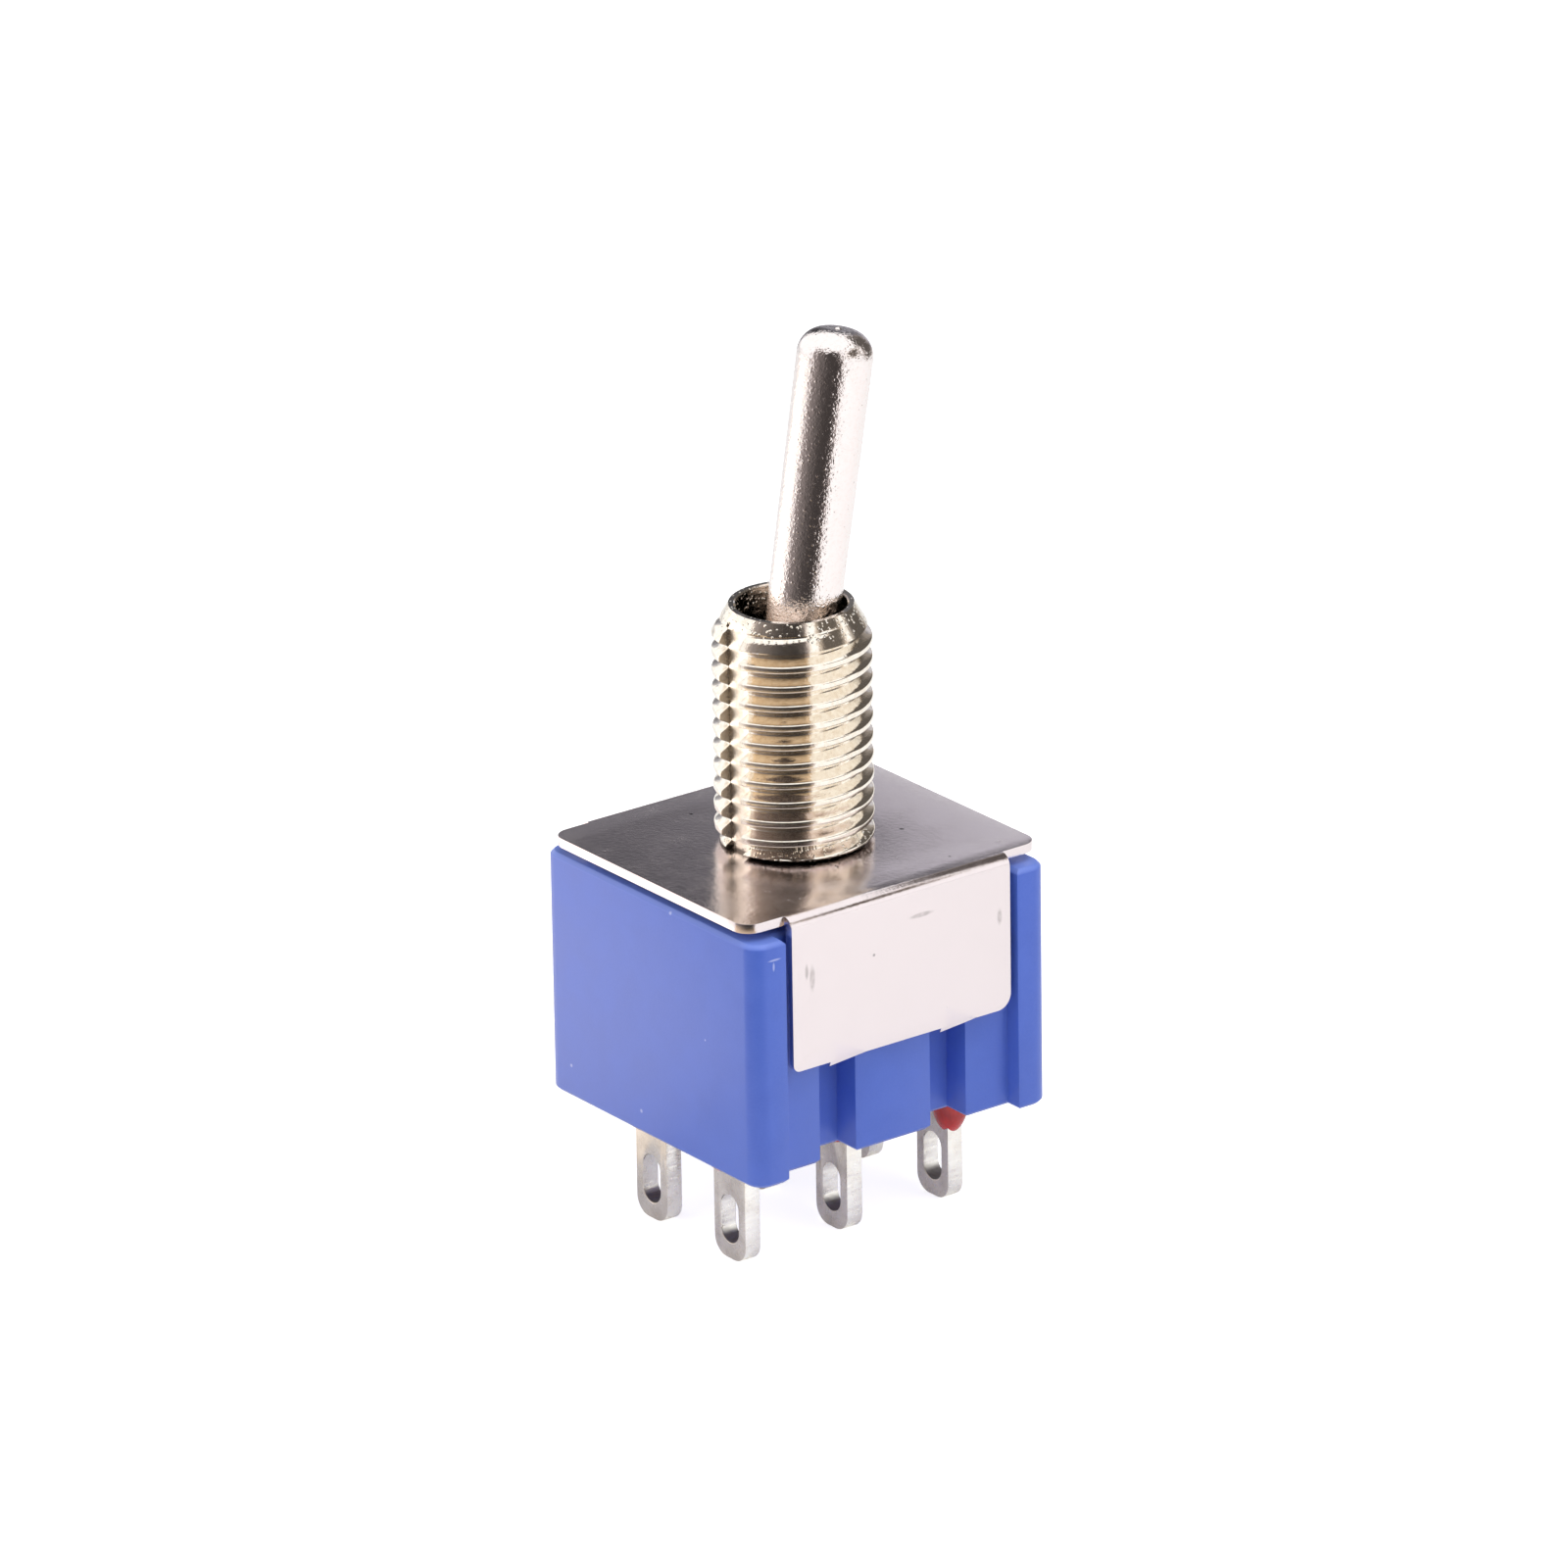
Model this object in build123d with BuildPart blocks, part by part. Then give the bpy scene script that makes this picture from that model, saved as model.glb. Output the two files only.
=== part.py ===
from build123d import *
import math
import os

os.makedirs("parts", exist_ok=True)

# Panel toggle switch, two poles, two positions, six solder lugs.
# Millimetres, +Z up. The origin is on the bushing axis, on the top face of the
# frame plate, which is the face that seats behind the panel.
# The lever swings along X, and the two poles lie side by side along Y.

# Housing, a moulded cup
housing_length = 13.5
housing_width = 12.9
housing_height = 9.5
corner_radius = 0.7
edge_break = 0.15
end_wall = 0.85
floor_thickness = 1.5
pillar_width = 1.45
recess_depth = 0.7
groove_width = 1.64
groove_depth = 1.15
groove_offset = 2.54
groove_wall = 0.6
seat_rim_inset = 0.9
barrier_thickness = 0.7
barrier_height = 3.4

# Frame plate with its two folded tabs
plate_thickness = 0.36
plate_gap = 0.34
ear_setback = 0.5
ear_corner_radius = 0.7
tab_side_gap = 0.3
tab_inset = 0.05
tab_drop = 6.0
tab_wide_corner = 0.6
tab_tight_corner = 0.3
tongue_side_gap = 0.3
tongue_width = 1.4
tongue_rise = 0.7
tongue_drop = 0.5
tongue_angle = 27.0

# Threaded bushing
thread_diameter = 5.9
thread_pitch = 0.75
thread_depth = 0.4
thread_crest = 0.15
bushing_height = 9.2
lead_in_length = 1.1
rim_radius = 2.3
mouth_radius = 2.06
neck_radius = 3.25
flange_radius = 3.8
flange_thickness = 0.5
keyway_width = 1.15
keyway_depth = 0.5
ball_clearance = 0.08
seat_radius = 1.75

# Lever
pivot_height = 5.5
lever_tilt = 9.6
ball_radius = 2.0
shaft_radius = 1.3
mouth_shaft_radius = 1.36
tip_radius = 1.41
lever_reach = 13.9
tip_round = 1.0
tail_radius = 0.9
tail_length = 9.4

# Carrier, plungers and springs, one plunger and spring for each pole
carrier_side_gap = 0.4
carrier_length = 2.5
carrier_top = 7.0
carrier_height = 3.1
carrier_wall = 0.35
carrier_corner = 0.6
bore_radius = 0.85
bore_depth = 2.5
plunger_clearance = 0.05
plunger_head_length = 1.3
plunger_stem_radius = 0.6
plunger_tip_round = 0.57
spring_wire = 0.18
spring_length = 1.55
spring_turns = 3
spring_wire_flats = 6
spring_side_gap = 0.05
spring_end_gap = 0.02
rocker_mid_gap = 0.2

# Rocking contacts
rocker_overhang = 0.55
rocker_width = 1.6
rocker_thickness = 0.3
rocker_waist = 1.1
rocker_waist_length = 1.3
rocker_bend = 8.0
contact_inset = 0.75
contact_radius = 0.5
contact_height = 0.25
contact_taper = 15.0
contact_gap = 0.05

# Terminals
lug_inset = 2.05
lug_width = 1.9
lug_thickness = 0.7
lug_drop = 4.45
lug_tip_radius = 0.7
lug_slot_width = 1.05
lug_slot_length = 1.9
lug_slot_rise = 0.65
head_thickness = 0.6
head_reach = 1.4
anvil_height = 0.15
saddle_ear_width = 0.3
saddle_ear_height = 0.7
slot_clearance = 0.03

# Epoxy seals round the lug roots
seal_radius = 1.45
seal_drop = 1.0
seal_profile = ((1.0, 0.0), (0.8, 0.7), (0.0, 1.0))
run_radius = 0.8
run_drop = 1.65
run_offset = 0.7

# Levels and places that follow from the sizes above
plate_bottom = -plate_thickness
housing_top = plate_bottom - plate_gap
housing_bottom = housing_top - housing_height
floor_level = housing_bottom + floor_thickness
half_width = housing_width / 2
recess_width = housing_length - 2 * pillar_width
recess_floor = half_width - recess_depth
ear_depth = half_width - ear_setback
cavity_length = housing_length - 2 * end_wall
cavity_width = 2 * (recess_floor - groove_depth - groove_wall)
carrier_width = cavity_width - 2 * carrier_side_gap
pole_pitch = carrier_width - 2 * (bore_radius + carrier_wall)
lug_pitch = housing_length / 2 - lug_inset
contact_offset = lug_pitch - contact_inset
rocker_arm = contact_offset + rocker_overhang
tab_width = recess_width - 2 * tab_side_gap
tab_face = half_width - tab_inset
tab_bend_radius = tab_face - ear_depth
head_top = floor_level + head_thickness
rocker_pivot = head_top + anvil_height + contact_gap + contact_height
saddle_top = rocker_pivot - contact_gap
lug_bottom = housing_bottom - lug_drop
poles = {"front": -pole_pitch / 2, "rear": pole_pitch / 2}
ends = {"left": -1, "right": 1}

# Lever frame: distances along the lever are measured from its pivot, tip side positive
tilt = math.radians(lever_tilt)
lever_along = Vector(math.sin(tilt), 0, math.cos(tilt))
lever_across = Vector(math.cos(tilt), 0, -math.sin(tilt))
pivot = Vector(0, 0, pivot_height)
lever_section = Plane(origin=pivot, x_dir=lever_across, z_dir=(0, -1, 0))


def lever_level(distance, pole=0):
    """Plane square to the lever, a distance along it from the pivot."""
    origin = pivot + lever_along * distance + Vector(0, pole, 0)
    return Plane(origin=origin, x_dir=lever_across, z_dir=lever_along)


# Housing: an open cup with corner pillars, a recess for each tab and two clinch grooves in it
with BuildPart() as housing:
    with BuildSketch(Plane.XY.offset(housing_bottom)):
        Rectangle(housing_length, housing_width)
        with Locations((0, half_width), (0, -half_width)):
            Rectangle(recess_width, 2 * recess_depth, mode=Mode.SUBTRACT)
        with GridLocations(2 * groove_offset, 2 * recess_floor, 2, 2):
            Rectangle(groove_width, 2 * groove_depth, mode=Mode.SUBTRACT)
    extrude(amount=housing_height)
    upright = housing.edges().filter_by(Axis.Z)
    fillet(upright.group_by(Axis.X)[0] + upright.group_by(Axis.X)[-1], radius=corner_radius)
    rims = housing.edges().group_by(Axis.Z)
    chamfer(rims[-1], length=edge_break)
    chamfer(housing.edges().group_by(Axis.Z)[0], length=edge_break)
    with BuildSketch(Plane.XY.offset(housing_top)):
        Rectangle(housing_length - 2 * seat_rim_inset, 2 * (ear_depth - seat_rim_inset))
    extrude(amount=plate_gap)
    with BuildSketch(Plane.XY.offset(floor_level)):
        Rectangle(cavity_length, cavity_width)
    extrude(amount=plate_bottom - floor_level, mode=Mode.SUBTRACT)
    with BuildSketch(Plane.XY.offset(floor_level)):
        Rectangle(cavity_length, barrier_thickness)
    extrude(amount=barrier_height)
    with BuildSketch(Plane.XY.offset(housing_bottom)):
        with GridLocations(lug_pitch, pole_pitch, 3, 2):
            Rectangle(lug_thickness + 2 * slot_clearance, lug_width + 2 * slot_clearance)
    extrude(amount=floor_thickness, mode=Mode.SUBTRACT)

housing.part.label = "housing"
export_step(housing.part, "parts/housing.step")

# Frame plate: a flat sheet with an ear at each corner and a tab folded down each side.
# A tongue over each groove is slit free on one side and folded in along a slanting line.
tab_inner = tab_face - plate_thickness

with BuildPart() as frame_plate:
    with BuildSketch(Plane.XY.offset(plate_bottom)) as sheet:
        Rectangle(housing_length, 2 * ear_depth)
        fillet(sheet.vertices(), radius=ear_corner_radius)
        Circle(neck_radius, mode=Mode.SUBTRACT)
    extrude(amount=plate_thickness)
    with BuildSketch(Plane.YZ.offset(-tab_width / 2)):
        with BuildLine():
            joint_line = Line((ear_depth, 0), (ear_depth, plate_bottom))
            inner_bend = RadiusArc(
                joint_line @ 1, (tab_inner, -tab_bend_radius), tab_bend_radius - plate_thickness
            )
            inner_face = Line(inner_bend @ 1, (tab_inner, -tab_drop))
            foot = Line(inner_face @ 1, (tab_face, -tab_drop))
            outer_face = Line(foot @ 1, (tab_face, -tab_bend_radius))
            RadiusArc(outer_face @ 1, joint_line @ 0, -tab_bend_radius)
        make_face()
    extrude(amount=tab_width)
    foot_edges = frame_plate.edges().filter_by(Axis.Y).group_by(Axis.Z)[0]
    fillet(foot_edges.sort_by(Axis.X)[0], radius=tab_tight_corner)
    fillet(foot_edges.sort_by(Axis.X)[-1], radius=tab_wide_corner)
    for groove in (-groove_offset, groove_offset):
        slit = groove - groove_width / 2 + tongue_side_gap
        fold_start = Vector(slit, tab_face, tongue_rise - tab_drop)
        fold_end = Vector(slit + tongue_width, tab_face, -tab_drop)
        fold = Axis(fold_end, fold_start - fold_end)
        flat_sheet = Plane(origin=fold_end, x_dir=fold.direction, z_dir=(0, 1, 0))
        bent_normal = flat_sheet.z_dir.rotate(fold, tongue_angle)
        bent_sheet = Plane(origin=fold_end, x_dir=fold.direction, z_dir=bent_normal)
        tongue_corner = flat_sheet.to_local_coords(Vector(slit, tab_face, -tab_drop - tongue_drop))
        with BuildSketch() as tongue:
            with BuildLine():
                fold_line = Line((0, 0), ((fold_start - fold_end).length, 0))
                Polyline(fold_line @ 1, (tongue_corner.X, tongue_corner.Y), fold_line @ 0)
            make_face()
        with BuildSketch(flat_sheet):
            add(tongue.sketch)
        extrude(amount=-plate_thickness, mode=Mode.SUBTRACT)
        with BuildSketch(bent_sheet):
            add(tongue.sketch)
        extrude(amount=-plate_thickness)
    mirror(about=Plane.XZ)

frame_plate.part.label = "frame_plate"
export_step(frame_plate.part, "parts/frame_plate.step")

# Bushing: staked in the plate by its neck, with its flange below, and bored for the lever's ball.
# The thread's relief is a row of V grooves, one for each turn.
thread_radius = thread_diameter / 2
thread_root = thread_radius - thread_depth
thread_length = bushing_height - lead_in_length
socket_radius = ball_radius + ball_clearance
seat_height = pivot_height + math.sqrt(socket_radius**2 - seat_radius**2)
flange_bottom = plate_bottom - flange_thickness
thread_turns = int(thread_length / thread_pitch)
groove_bottoms = [thread_length - turn * thread_pitch for turn in range(1, thread_turns + 1)]
thread_line = []
for level in groove_bottoms:
    thread_line += [
        (thread_radius, level + thread_pitch - thread_crest),
        (thread_root, level + (thread_pitch - thread_crest) / 2),
        (thread_radius, level),
    ]

with BuildPart() as bushing:
    with BuildSketch(Plane.XZ):
        with BuildLine():
            seat = RadiusArc((socket_radius, pivot_height), (seat_radius, seat_height), -socket_radius)
            Polyline(
                seat @ 1,
                (mouth_radius, bushing_height),
                (rim_radius, bushing_height),
                (thread_radius, thread_length),
                *thread_line,
                (thread_radius, 0),
                (neck_radius, 0),
                (neck_radius, plate_bottom),
                (flange_radius, plate_bottom),
                (flange_radius, flange_bottom),
                (socket_radius, flange_bottom),
                seat @ 0,
            )
        make_face()
    revolve(axis=Axis.Z)
    with BuildSketch(Plane.XY):
        with Locations((-thread_radius, 0)):
            Rectangle(2 * keyway_depth, keyway_width)
    extrude(amount=bushing_height, mode=Mode.SUBTRACT)

bushing.part.label = "bushing"
export_step(bushing.part, "parts/bushing.step")

# Lever: turned in one piece, a round bat with a domed tip, a ball and a tail
ball_top = math.sqrt(ball_radius**2 - shaft_radius**2)
ball_bottom = -math.sqrt(ball_radius**2 - tail_radius**2)
mouth_distance = bushing_height - pivot_height

with BuildPart() as lever:
    with BuildSketch(lever_section) as bat:
        with BuildLine():
            ball = RadiusArc((tail_radius, ball_bottom), (shaft_radius, ball_top), -ball_radius)
            Polyline(
                ball @ 1,
                (mouth_shaft_radius, mouth_distance),
                (tip_radius, lever_reach - tip_round),
                (tip_radius, lever_reach),
                (0, lever_reach),
                (0, -tail_length),
                (tail_radius, -tail_length),
                ball @ 0,
            )
        make_face()
        tip_corner = bat.vertices().group_by(Axis.Y)[-1].sort_by(Axis.X)[-1]
        fillet(tip_corner, radius=tip_round)
    revolve(axis=Axis(pivot, lever_along))

lever.part.label = "lever"
export_step(lever.part, "parts/lever.step")

# Carrier: the moulded block on the lever's tail, with a blind bore for each plunger
carrier_bottom = carrier_top + carrier_height

with BuildPart() as carrier:
    with BuildSketch(lever_level(-carrier_bottom)):
        RectangleRounded(carrier_length, carrier_width, carrier_corner)
    extrude(amount=carrier_height)
    with BuildSketch(lever_level(-carrier_bottom)):
        with Locations((0, poles["front"]), (0, poles["rear"])):
            Circle(bore_radius)
    extrude(amount=bore_depth, mode=Mode.SUBTRACT)
    with BuildSketch(lever_level(-tail_length)):
        Circle(tail_radius)
    extrude(amount=tail_length - carrier_top, mode=Mode.SUBTRACT)

carrier.part.label = "carrier"
export_step(carrier.part, "parts/carrier.step")

# Plungers and springs: each spring sits in its blind bore and presses its plunger down
bore_end = carrier_bottom - bore_depth
plunger_top = bore_end + spring_length + 2 * spring_end_gap
plunger_head_radius = bore_radius - plunger_clearance
plunger_tip = pivot_height - rocker_pivot - rocker_thickness - rocker_mid_gap
plunger_stem_length = plunger_tip - plunger_top - plunger_head_length
spring_radius = bore_radius - spring_side_gap - spring_wire / 2
coil_height = spring_length - spring_wire

for side, pole in poles.items():
    with BuildPart() as plunger:
        with BuildSketch(lever_level(-plunger_top, pole)):
            Circle(plunger_head_radius)
        extrude(amount=-plunger_head_length)
        with BuildSketch(lever_level(-plunger_top - plunger_head_length, pole)):
            Circle(plunger_stem_radius)
        extrude(amount=-plunger_stem_length)
        tip_rim = plunger.edges().sort_by(Axis(pivot, lever_along))[0]
        fillet(tip_rim, radius=plunger_tip_round)
    plunger.part.label = f"plunger_{side}"
    export_step(plunger.part, f"parts/plunger_{side}.step")

    spring_base = pivot + Vector(0, pole, 0) - lever_along * (bore_end + spring_end_gap)
    wire_centre = spring_base - lever_along * (spring_wire / 2)
    with BuildPart() as spring:
        with BuildLine() as coil:
            Helix(
                pitch=coil_height / spring_turns,
                height=coil_height,
                radius=spring_radius,
                center=wire_centre,
                direction=-lever_along,
            )
        with BuildSketch(Plane(origin=coil.line @ 0, z_dir=coil.line % 0)):
            RegularPolygon(spring_wire / 2, spring_wire_flats)
        sweep(is_frenet=True)
    spring.part.label = f"spring_{side}"
    export_step(spring.part, f"parts/spring_{side}.step")

# Rocking contacts: a shallow V of sheet that rocks on the saddle of the centre lug.
# At rest the left arm lies flat on its lug and the right arm is raised.
arm_angles = {-1: 180.0, 1: 2 * rocker_bend}
waist_cut = rocker_width - rocker_waist

for side, pole in poles.items():
    with BuildPart() as rocker:
        for arm, angle in arm_angles.items():
            along = Vector(math.cos(math.radians(angle)), 0, math.sin(math.radians(angle)))
            normal = Vector(-along.Z, 0, along.X) * arm
            hinge_point = Vector(0, pole, rocker_pivot)
            arm_plane = Plane(origin=hinge_point, x_dir=along, z_dir=normal)
            with BuildSketch(arm_plane):
                with Locations((rocker_arm / 2, 0)):
                    Rectangle(rocker_arm, rocker_width)
                with GridLocations(0, rocker_width, 1, 2):
                    Rectangle(rocker_waist_length, waist_cut, mode=Mode.SUBTRACT)
            extrude(amount=rocker_thickness)
            with BuildSketch(arm_plane):
                with Locations((contact_offset, 0)):
                    Circle(contact_radius)
            extrude(amount=-contact_height, taper=contact_taper)
    rocker.part.label = f"rocker_{side}"
    export_step(rocker.part, f"parts/rocker_{side}.step")

# Lugs: punched strip with a rounded foot and a wire slot, sealed through the housing floor
def lug_blade(top):
    """Outline of a lug across its width, from its foot up to a level."""
    with BuildSketch() as blade:
        with Locations((0, (lug_bottom + top) / 2)):
            Rectangle(lug_width, top - lug_bottom)
        fillet(blade.vertices().group_by(Axis.Y)[0], radius=lug_tip_radius)
        slot_middle = lug_bottom + lug_slot_rise + lug_slot_length / 2
        with Locations((0, slot_middle)):
            SlotOverall(lug_slot_length, lug_slot_width, rotation=90, mode=Mode.SUBTRACT)
    return blade.sketch


for side, pole in poles.items():
    with BuildPart() as common_terminal:
        with BuildSketch(Plane.YZ.offset(-lug_thickness / 2)):
            with Locations((pole, 0)):
                add(lug_blade(saddle_top + saddle_ear_height))
            with Locations((pole, saddle_top + saddle_ear_height)):
                ear_gap = lug_width - 2 * saddle_ear_width
                Rectangle(ear_gap, 2 * saddle_ear_height, mode=Mode.SUBTRACT)
        extrude(amount=lug_thickness)
    common_terminal.part.label = f"common_terminal_{side}"
    export_step(common_terminal.part, f"parts/common_terminal_{side}.step")

    for end, sign in ends.items():
        lug_place = sign * lug_pitch
        with BuildPart() as end_terminal:
            with BuildSketch(Plane.YZ.offset(lug_place - lug_thickness / 2)):
                with Locations((pole, 0)):
                    add(lug_blade(head_top))
            extrude(amount=lug_thickness)
            with BuildSketch(Plane.XY.offset(floor_level)):
                with Locations((lug_place - sign * head_reach / 2, pole)):
                    Rectangle(head_reach, lug_width)
            extrude(amount=head_thickness)
            with BuildSketch(Plane.XY.offset(head_top)):
                with Locations((sign * contact_offset, pole)):
                    Circle(contact_radius)
            extrude(amount=anvil_height, taper=contact_taper)
        end_terminal.part.label = f"end_terminal_{end}_{side}"
        export_step(end_terminal.part, f"parts/end_terminal_{end}_{side}.step")

# Seals: a domed bead of epoxy round each lug root. One bead ran down its lug before it set.
columns = {"left": -lug_pitch, "middle": 0, "right": lug_pitch}


def bead(place, row, radius, drop):
    """Domed bead below the housing floor, centred on a point of it."""
    with BuildPart() as dome:
        with BuildSketch(Plane.XZ.offset(-row)):
            with BuildLine():
                skin = [(place + a * radius, housing_bottom - b * drop) for a, b in seal_profile]
                Polyline((place, housing_bottom), *skin, close=True)
            make_face()
        revolve(axis=Axis((place, row, 0), (0, 0, 1)))
    return dome.part


for side, pole in poles.items():
    for column, place in columns.items():
        with BuildPart() as terminal_seal:
            add(bead(place, pole, seal_radius, seal_drop))
            if side == "front" and column == "right":
                add(bead(place, pole - run_offset, run_radius, run_drop))
            with BuildSketch(Plane.XY.offset(housing_bottom)):
                with Locations((place, pole)):
                    Rectangle(lug_thickness, lug_width)
            extrude(amount=-run_drop, mode=Mode.SUBTRACT)
        terminal_seal.part.label = f"terminal_seal_{column}_{side}"
        export_step(terminal_seal.part, f"parts/terminal_seal_{column}_{side}.step")
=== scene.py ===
import bmesh
import bpy
import math
import numpy as np
from mathutils import Matrix, Vector


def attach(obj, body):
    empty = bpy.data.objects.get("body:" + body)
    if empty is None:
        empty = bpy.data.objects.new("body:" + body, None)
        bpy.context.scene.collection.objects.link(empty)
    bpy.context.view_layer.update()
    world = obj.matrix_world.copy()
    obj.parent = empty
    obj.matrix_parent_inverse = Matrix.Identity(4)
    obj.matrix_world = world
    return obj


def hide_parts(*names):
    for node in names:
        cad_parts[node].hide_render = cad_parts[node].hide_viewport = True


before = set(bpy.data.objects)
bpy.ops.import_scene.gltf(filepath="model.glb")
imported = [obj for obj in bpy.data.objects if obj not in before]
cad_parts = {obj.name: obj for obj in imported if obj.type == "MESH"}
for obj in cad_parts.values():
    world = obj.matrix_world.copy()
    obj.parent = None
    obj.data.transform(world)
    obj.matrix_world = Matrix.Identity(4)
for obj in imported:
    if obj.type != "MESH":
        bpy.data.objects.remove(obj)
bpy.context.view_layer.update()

# One millimetre in metres. All sizes below are in millimetres, as the solids have them
MM = 0.001
FLOOR_LEVEL = -14.65

# Bushing. The thread's form is one pitch long: heights are shares of its depth at shares of the pitch.
# The keyway's turns are the degrees from its middle at which the bore's columns behind it stand
THREAD_PITCH = 0.75
THREAD_DEPTH = 0.43
THREAD_RADIUS = 2.95
THREAD_KNOTS = [0.0, 0.09, 0.12, 0.15, 0.19, 0.38, 0.44, 0.5, 0.56, 0.62, 0.81, 0.85, 0.88, 0.91, 1.0]
THREAD_HEIGHTS = [1.0, 1.0, 0.985, 0.94, 0.84, 0.22, 0.06, 0.0, 0.06, 0.22, 0.84, 0.94, 0.985, 1.0, 1.0]
FLANK_MIDDLES = [0.28, 0.71]
UNDERCUT_HEIGHTS = [0, 0.05, 0.2, 0.24]
UNDERCUT_RADII = [2.52, 2.72, 2.9, THREAD_RADIUS]
BUSHING_TOP = 9.2
LEAD_IN_START = 8.1
RIM_RADIUS = 2.3
MOUTH_RADIUS = 2.06
MOUTH_CHAMFER = 0.05
BORE_RADIUS = 1.9
BORE_STEP = 8.0
NECK_RADIUS = 3.25
FLANGE_RADIUS = 3.8
PLATE_BOTTOM = -0.36
FLANGE_BOTTOM = -0.86
SOCKET_RADIUS = 2.08
SOCKET_BOTTOM = 2.0
SEAT_RADIUS = 1.75
KEYWAY_FLOOR = 2.45
KEYWAY_HALF = 0.575
KEYWAY_TURNS = [0, 5, 10.19, 10.5]

# Lever. The stub left by parting off is radii, with their heights over the lever's reach
PIVOT_HEIGHT = 5.5
LEVER_TILT = math.radians(9.6)
BALL_RADIUS = 2.0
SHAFT_RADIUS = 1.3
MOUTH_SHAFT_RADIUS = 1.36
TIP_RADIUS = 1.41
TIP_ROUND = 1.0
TIP_SINK = 0.004
LEVER_REACH = 13.9
PARTED_STUB = [(0.3, -0.006), (0.15, -0.004), (0.1, 0.03), (0.05, 0.055), (0.0, 0.06)]
TAIL_RADIUS = 0.9
TAIL_LENGTH = 9.4
TAIL_CHAMFER = 0.08

# Lugs and seals
HOUSING_BOTTOM = -10.2
LUG_PITCH = 4.7
POLE_PITCH = 4.8
SEAL_RADIUS = 1.45
SEAL_DROP = 1.0
RUN_RADIUS = 0.78
RUN_DROP = 1.78
RUN_OFFSET = 0.66

# Radius of a mark that takes in a round piece whole
ALL_ROUND = 9

# Meshes: metres within which points meet, and degrees up to which faces are flat or an edge is smooth
MERGED_WITHIN = 5e-7
TINY = 1e-7
FLAT_ANGLE = 0.6
SMOOTH_ANGLE = 25


# ---- Shapes

def placed(name, data):
    """New object in the scene for a mesh, a lamp or a camera."""
    made = bpy.data.objects.new(name, data)
    bpy.context.scene.collection.objects.link(made)
    return made


def shown(name, mesh, sharp):
    """Object for a mesh, at the origin, smooth except along edges sharper than an angle."""
    mesh.polygons.foreach_set("use_smooth", np.ones(len(mesh.polygons), dtype=bool))
    mesh.set_sharp_from_angle(angle=math.radians(sharp))
    return placed(name, mesh)


def grid_mesh(name, grid, loop=False):
    """Mesh of quads between neighbours in a rows x columns grid of points in millimetres. loop joins
    the last row to the first."""
    rows, columns = grid.shape[:2]
    index = np.arange(rows * columns).reshape(rows, columns)
    low = index if loop else index[:-1]
    high = np.roll(index, -1, axis=0) if loop else index[1:]
    quads = np.stack([low[:, :-1], low[:, 1:], high[:, 1:], high[:, :-1]], axis=-1).reshape(-1, 4)
    mesh = bpy.data.meshes.new(name)
    mesh.from_pydata(grid.reshape(-1, 3) * MM, [], quads)
    return mesh


def surface(name, grid, loop=False, patches=None, sharp=32):
    """Piece with a grid's mesh. Points that meet are merged, so poles and seams close. patches gives
    the material index of each strip of rows, and sharp the angle past which an edge shows."""
    mesh = grid_mesh(name, grid, loop)
    if patches is not None:
        mesh.polygons.foreach_set("material_index", np.repeat(patches, grid.shape[1] - 1).astype(np.int32))
    form = bmesh.new()
    form.from_mesh(mesh)
    bmesh.ops.remove_doubles(form, verts=form.verts, dist=MERGED_WITHIN)
    bmesh.ops.dissolve_degenerate(form, dist=TINY, edges=form.edges)
    form.to_mesh(mesh)
    form.free()
    return shown(name, mesh, sharp)


def softened(node_name, name, radius, keep=None):
    """Copy of a solid with its doubles merged, its flat faces joined, and each edge that isn't smooth
    rounded to a radius in millimetres. keep is a test of an edge's middle, in millimetres, that leaves
    the edge as it is."""
    form = bmesh.new()
    form.from_mesh(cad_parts[node_name].data)
    bmesh.ops.remove_doubles(form, verts=form.verts, dist=TINY)
    bmesh.ops.dissolve_limit(form, angle_limit=math.radians(FLAT_ANGLE), verts=form.verts, edges=form.edges)
    chosen = []
    for edge in form.edges:
        if len(edge.link_faces) == 2 and edge.calc_face_angle() > math.radians(SMOOTH_ANGLE):
            middle = (edge.verts[0].co + edge.verts[1].co) / (2 * MM)
            if keep is None or not keep(middle):
                chosen.append(edge)
    bmesh.ops.bevel(form, geom=chosen, offset=radius * MM, offset_type="OFFSET", segments=2,
                    profile=0.5, affect="EDGES", clamp_overlap=True)
    mesh = bpy.data.meshes.new(name)
    form.to_mesh(mesh)
    form.free()
    return shown(name, mesh, 28)


def hole_rim(middle):
    """The edges round the plate's hole, where the staked neck closes flush."""
    return abs(math.hypot(middle.x, middle.y) - NECK_RADIUS) < 0.1


def thread_radius(climb):
    """Radius of the thread at a height measured along its helix: a trapezium wave with a narrow
    crest, a narrow root and straight flanks between them, its corners eased."""
    phase = np.mod(climb / THREAD_PITCH, 1.0)
    return THREAD_RADIUS - THREAD_DEPTH * (1 - np.interp(phase, THREAD_KNOTS, THREAD_HEIGHTS))


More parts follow.
